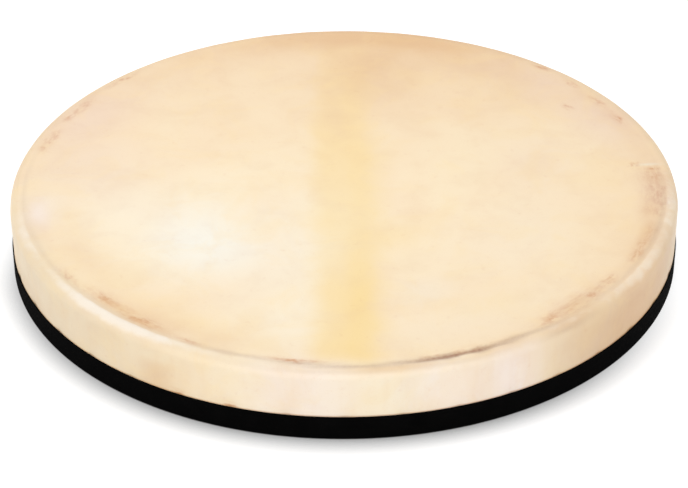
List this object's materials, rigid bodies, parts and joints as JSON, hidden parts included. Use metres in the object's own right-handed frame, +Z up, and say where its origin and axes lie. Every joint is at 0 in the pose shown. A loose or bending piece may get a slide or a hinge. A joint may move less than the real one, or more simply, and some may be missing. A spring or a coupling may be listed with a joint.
{
  "type": "ocean drum",
  "caption": "Shallow round ocean drum: two natural skins stretched over a laminated wooden hoop, with loose steel shot inside that rolls with a sound of surf.",
  "frame": {"origin": "centre of the face that the drum rests on", "axes": "+Z up along the drum's axis, out of the top head; -Y towards the viewer in the picture, and the seams of the band and the outer ply at +Y, the back"},
  "size_m": [0.4999, 0.5, 0.054],
  "materials": {
    "skin": "natural goatskin, scraped smooth",
    "hoop_wood": "bent beech, sanded",
    "band_cloth": "matt black woven tape",
    "staple_wire": "zinc plated wire",
    "steel_shot": "tumbled steel balls"
  },
  "bodies": {
    "drum": {"hoop_inner_ply": "hoop_wood", "hoop_middle_ply": "hoop_wood", "hoop_outer_ply": "hoop_wood", "top_head": "skin", "bottom_head": "skin", "trim_band": "band_cloth", "top_head_staples": "staple_wire", "bottom_head_staples": "staple_wire"},
    "centre_shot": {"shot_core": "steel_shot"},
    "swirling_shot_01": {"shot_band_01": "steel_shot"},
    "swirling_shot_02": {"shot_band_02": "steel_shot"},
    "swirling_shot_03": {"shot_band_03": "steel_shot"},
    "swirling_shot_04": {"shot_band_04": "steel_shot"},
    "swirling_shot_05": {"shot_band_05": "steel_shot"},
    "swirling_shot_06": {"shot_band_06": "steel_shot"},
    "swirling_shot_07": {"shot_band_07": "steel_shot"},
    "swirling_shot_08": {"shot_band_08": "steel_shot"},
    "swirling_shot_09": {"shot_band_09": "steel_shot"},
    "swirling_shot_10": {"shot_band_10": "steel_shot"},
    "swirling_shot_11": {"shot_band_11": "steel_shot"}
  },
  "joints": [
    {"name": "shot_drop", "type": "slide", "parent": "drum", "child": "centre_shot", "axis": [0, 0, 1], "range_m": [0, 0.0455]},
    {"name": "swirl_01", "type": "hinge", "parent": "centre_shot", "child": "swirling_shot_01", "pos_m": [0, 0, 0.00425], "axis": [0, 0, 1], "continuous": true},
    {"name": "swirl_02", "type": "hinge", "parent": "centre_shot", "child": "swirling_shot_02", "pos_m": [0, 0, 0.00425], "axis": [0, 0, 1], "continuous": true},
    {"name": "swirl_03", "type": "hinge", "parent": "centre_shot", "child": "swirling_shot_03", "pos_m": [0, 0, 0.00425], "axis": [0, 0, 1], "continuous": true},
    {"name": "swirl_04", "type": "hinge", "parent": "centre_shot", "child": "swirling_shot_04", "pos_m": [0, 0, 0.00425], "axis": [0, 0, 1], "continuous": true},
    {"name": "swirl_05", "type": "hinge", "parent": "centre_shot", "child": "swirling_shot_05", "pos_m": [0, 0, 0.00425], "axis": [0, 0, 1], "continuous": true},
    {"name": "swirl_06", "type": "hinge", "parent": "centre_shot", "child": "swirling_shot_06", "pos_m": [0, 0, 0.00425], "axis": [0, 0, 1], "continuous": true},
    {"name": "swirl_07", "type": "hinge", "parent": "centre_shot", "child": "swirling_shot_07", "pos_m": [0, 0, 0.00425], "axis": [0, 0, 1], "continuous": true},
    {"name": "swirl_08", "type": "hinge", "parent": "centre_shot", "child": "swirling_shot_08", "pos_m": [0, 0, 0.00425], "axis": [0, 0, 1], "continuous": true},
    {"name": "swirl_09", "type": "hinge", "parent": "centre_shot", "child": "swirling_shot_09", "pos_m": [0, 0, 0.00425], "axis": [0, 0, 1], "continuous": true},
    {"name": "swirl_10", "type": "hinge", "parent": "centre_shot", "child": "swirling_shot_10", "pos_m": [0, 0, 0.00425], "axis": [0, 0, 1], "continuous": true},
    {"name": "swirl_11", "type": "hinge", "parent": "centre_shot", "child": "swirling_shot_11", "pos_m": [0, 0, 0.00425], "axis": [0, 0, 1], "continuous": true}
  ]
}
